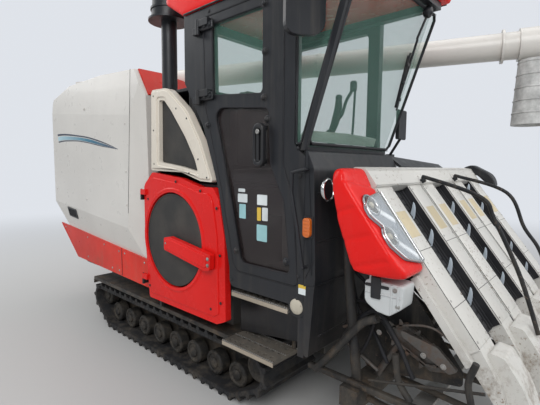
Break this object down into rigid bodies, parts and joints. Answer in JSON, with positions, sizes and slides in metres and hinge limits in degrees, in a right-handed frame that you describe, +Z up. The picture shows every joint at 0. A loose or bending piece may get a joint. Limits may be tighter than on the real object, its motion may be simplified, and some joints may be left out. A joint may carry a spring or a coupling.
{
  "type": "tracked head-feeding combine harvester",
  "caption": "Tracked rice combine harvester with cab, side grain tank, slewing unloading auger and lifting row header with tine lanes.",
  "frame": {"origin": "on the ground under the middle of the machine's box", "axes": "+X forward towards the header, +Y to the machine's left, +Z up"},
  "size_m": [4.9, 2.3, 2.74],
  "materials": {
    "track_rubber": "matt",
    "roller_iron": "worn",
    "frame_paint": "satin",
    "gear_iron": "matt",
    "charcoal_sheet": "satin",
    "charcoal_paint": "satin",
    "charcoal_plastic": "satin",
    "cream_plastic": "gloss",
    "cream_sheet": "gloss",
    "red_plastic": "gloss",
    "red_sheet": "gloss",
    "cab_glass": "clear",
    "seat_cover": "matt",
    "step_steel": "worn",
    "chain_steel": "oiled",
    "screen_mesh": "matt",
    "rod_chrome": "polished",
    "spout_rubber": "matt",
    "case_plastic": "satin",
    "lane_rubber": "matt",
    "lamp_glass": "clear",
    "reservoir_plastic": "satin",
    "orange_lens": "gloss"
  },
  "bodies": {
    "chassis": {"track_right": "track_rubber", "track_left": "track_rubber", "rollers": "roller_iron", "track_beams": "frame_paint", "chassis_frame": "frame_paint", "deck": "frame_paint", "transmission": "gear_iron", "engine": "gear_iron", "engine_room": "charcoal_sheet", "grille_panel": "cream_plastic", "intake_pipe": "charcoal_plastic", "cab_frame": "charcoal_paint", "cab_floor": "charcoal_sheet", "cab_roof": "red_plastic", "cab_panes": "cab_glass", "cowl": "charcoal_plastic", "indicator": "orange_lens", "feed_hood": "charcoal_plastic", "seat": "seat_cover", "console": "charcoal_plastic", "steps": "step_steel", "side_valance": "charcoal_paint", "wiper": "charcoal_plastic", "mirrors": "charcoal_plastic", "thresh_body": "cream_sheet", "feed_chain": "chain_steel", "straw_cutter": "red_sheet", "auger_rest": "frame_paint", "auger_post": "cream_sheet"},
    "header": {"header_arm": "frame_paint", "header_beam": "frame_paint", "header_pipes": "frame_paint", "feed_housing": "charcoal_sheet", "raising_cases": "case_plastic", "tine_lanes": "lane_rubber", "top_bar": "case_plastic", "lamp_housing": "red_plastic", "head_lamp": "lamp_glass", "reservoir": "reservoir_plastic", "visor": "charcoal_plastic", "conveyors": "chain_steel", "dividers": "frame_paint", "knife_bar": "step_steel"},
    "lift_barrel": {"lift_ram_barrel": "frame_paint"},
    "lift_rod": {"lift_ram_rod": "rod_chrome"},
    "cab_door": {"door_frame": "charcoal_paint", "door_panes": "cab_glass"},
    "engine_door": {"engine_cover": "red_plastic", "screen_arm": "red_plastic"},
    "screen": {"round_screen": "screen_mesh"},
    "tank": {"tank_shell": "cream_sheet", "tank_skirt": "red_sheet", "tank_top": "red_sheet"},
    "auger_turret": {"auger_head": "cream_sheet"},
    "auger": {"auger_tube": "cream_sheet", "auger_spout": "spout_rubber"},
    "auger_barrel": {"auger_ram_barrel": "frame_paint"},
    "auger_rod": {"auger_ram_rod": "rod_chrome"},
    "thresh_door": {"side_cover": "red_sheet"}
  },
  "joints": [
    {"name": "header_lift", "type": "hinge", "parent": "chassis", "child": "header", "pos_m": [0.64, 0.33, 0.94], "axis": [0, 1, 0], "range_deg": [0, 9.5]},
    {"name": "lift_barrel_turn", "type": "hinge", "parent": "chassis", "child": "lift_barrel", "pos_m": [0.43, 0.33, 0.6], "axis": [0, 1, 0], "range_deg": [-1, 8.77]},
    {"name": "lift_rod_slide", "type": "slide", "parent": "lift_barrel", "child": "lift_rod", "axis": [0.9827, 0, -0.1851], "range_m": [-0.0649, 0.002]},
    {"name": "cab_door_swing", "type": "hinge", "parent": "chassis", "child": "cab_door", "pos_m": [0.342, -0.98, 1.69], "axis": [0, 0, -1], "range_deg": [0, 85]},
    {"name": "engine_cover_swing", "type": "hinge", "parent": "chassis", "child": "engine_door", "pos_m": [-0.3785, -0.969, 1.03], "axis": [0, 0, -1], "range_deg": [0, 90]},
    {"name": "screen_spin", "type": "hinge", "parent": "engine_door", "child": "screen", "pos_m": [0.01, -0.94, 1.03], "axis": [0, -1, 0], "continuous": true},
    {"name": "tank_swing", "type": "hinge", "parent": "chassis", "child": "tank", "pos_m": [-2.325, -0.5, 1.4], "axis": [0, 0, -1], "range_deg": [0, 60]},
    {"name": "auger_slew", "type": "hinge", "parent": "chassis", "child": "auger_turret", "pos_m": [-2.325, -0.5, 2.2], "axis": [0, 0, 1], "range_deg": [0, 180]},
    {"name": "auger_lift", "type": "hinge", "parent": "auger_turret", "child": "auger", "pos_m": [-2.325, -0.5, 2.42], "axis": [0.309, -0.9511, 0], "range_deg": [0, 30]},
    {"name": "auger_barrel_turn", "type": "hinge", "parent": "auger_turret", "child": "auger_barrel", "pos_m": [-2.37753, -0.33832, 2.29], "axis": [0.309, -0.9511, 0], "range_deg": [-1, 23.04]},
    {"name": "auger_rod_slide", "type": "slide", "parent": "auger_barrel", "child": "auger_rod", "axis": [0.8658, 0.2813, 0.4138], "range_m": [-0.002, 0.0589]},
    {"name": "thresh_door_swing", "type": "hinge", "parent": "chassis", "child": "thresh_door", "pos_m": [-0.92, 0.932, 1.672], "axis": [1, 0, 0], "range_deg": [0, 100]}
  ],
  "couplings": [
    {"joint": "lift_barrel_turn", "follows": "header_lift", "ratio": 0.81735},
    {"joint": "lift_rod_slide", "follows": "header_lift", "m_per_rad": -0.37962},
    {"joint": "auger_barrel_turn", "follows": "auger_lift", "ratio": 0.73461},
    {"joint": "auger_rod_slide", "follows": "auger_lift", "m_per_rad": 0.10863}
  ]
}
